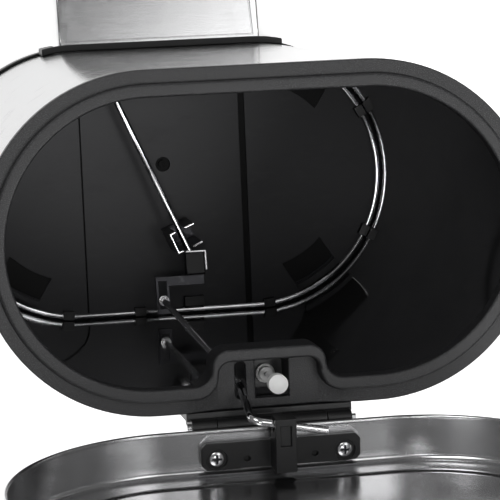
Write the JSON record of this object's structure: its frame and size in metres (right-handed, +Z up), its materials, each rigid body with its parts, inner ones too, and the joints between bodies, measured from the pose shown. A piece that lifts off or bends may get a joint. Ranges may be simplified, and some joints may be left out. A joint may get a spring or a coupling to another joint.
{
  "type": "step pedal waste bin",
  "caption": "Oval steel waste bin with an open hinged lid, a foot pedal that lifts the lid through a push rod, and a soft-close damper.",
  "frame": {"origin": "centre of the oval body on the floor, which is within 2 mm of the middle of the whole object with its lid open", "axes": "+X across the bin, -Y towards the pedal at the front, +Y towards the hinge, +Z up"},
  "size_m": [0.365, 0.3344, 0.6668],
  "materials": {
    "brushed_steel": "fine brushed stainless steel",
    "polished_steel": "satin to polished stainless steel",
    "chrome_wire": "bright plated wire",
    "bright_steel": "bright zinc-plated steel",
    "dark_steel": "dark plated steel",
    "textured_plastic": "fine-grained black plastic",
    "black_plastic": "satin black plastic",
    "grey_plastic": "grey moulded plastic",
    "white_plastic": "white moulded plastic",
    "rubber": "soft black rubber"
  },
  "bodies": {
    "bin": {"outer_shell": "brushed_steel", "base_ring": "black_plastic", "floor_tray": "black_plastic", "tray_screw": "dark_steel", "wire_hoop": "chrome_wire", "hoop_clips": "black_plastic", "rubber_feet": "rubber", "pedal_visor": "black_plastic", "pivot_bracket": "dark_steel", "pivot_pin": "bright_steel", "lever_guide": "bright_steel", "rod_loop": "black_plastic", "rim_collar": "textured_plastic", "damper_bracket": "dark_steel", "damper_cylinder": "grey_plastic", "hinge_block": "black_plastic", "hinge_block_screws": "bright_steel", "hinge_pin": "bright_steel"},
    "lid": {"hinge_leaf": "black_plastic", "lid_shell": "polished_steel", "lid_bracket": "black_plastic", "bracket_plate": "bright_steel", "bracket_screws": "bright_steel"},
    "pedal": {"pedal_tread": "brushed_steel", "pedal_core": "black_plastic", "lever_wire": "chrome_wire", "lever_block": "black_plastic", "block_clip": "bright_steel", "lever_plate": "dark_steel"},
    "push_rod": {"push_rod": "chrome_wire", "rod_collar": "bright_steel"},
    "plunger": {"damper_rod": "chrome_wire", "damper_knob": "white_plastic"}
  },
  "joints": [
    {"name": "lid_hinge", "type": "hinge", "parent": "bin", "child": "lid", "pos_m": [0, 0.119, 0.438], "axis": [1, 0, 0], "range_deg": [0, 95]},
    {"name": "pedal_pivot", "type": "hinge", "parent": "bin", "child": "pedal", "pos_m": [0, -0.075, 0.024], "axis": [-1, 0, 0], "range_deg": [0, 10.5]},
    {"name": "rod_pivot", "type": "hinge", "parent": "lid", "child": "push_rod", "pos_m": [-0.003, 0.1163, 0.463], "axis": [-1, 0, 0], "range_deg": [0, 91.7]},
    {"name": "plunger_slide", "type": "slide", "parent": "bin", "child": "plunger", "axis": [0, 0, -1], "range_m": [0, 0.0276]}
  ],
  "couplings": [
    {"joint": "pedal_pivot", "follows": "lid_hinge", "ratio": 0.11037},
    {"joint": "rod_pivot", "follows": "lid_hinge", "ratio": 0.9651},
    {"joint": "plunger_slide", "follows": "lid_hinge", "m_per_rad": 0.016586}
  ]
}
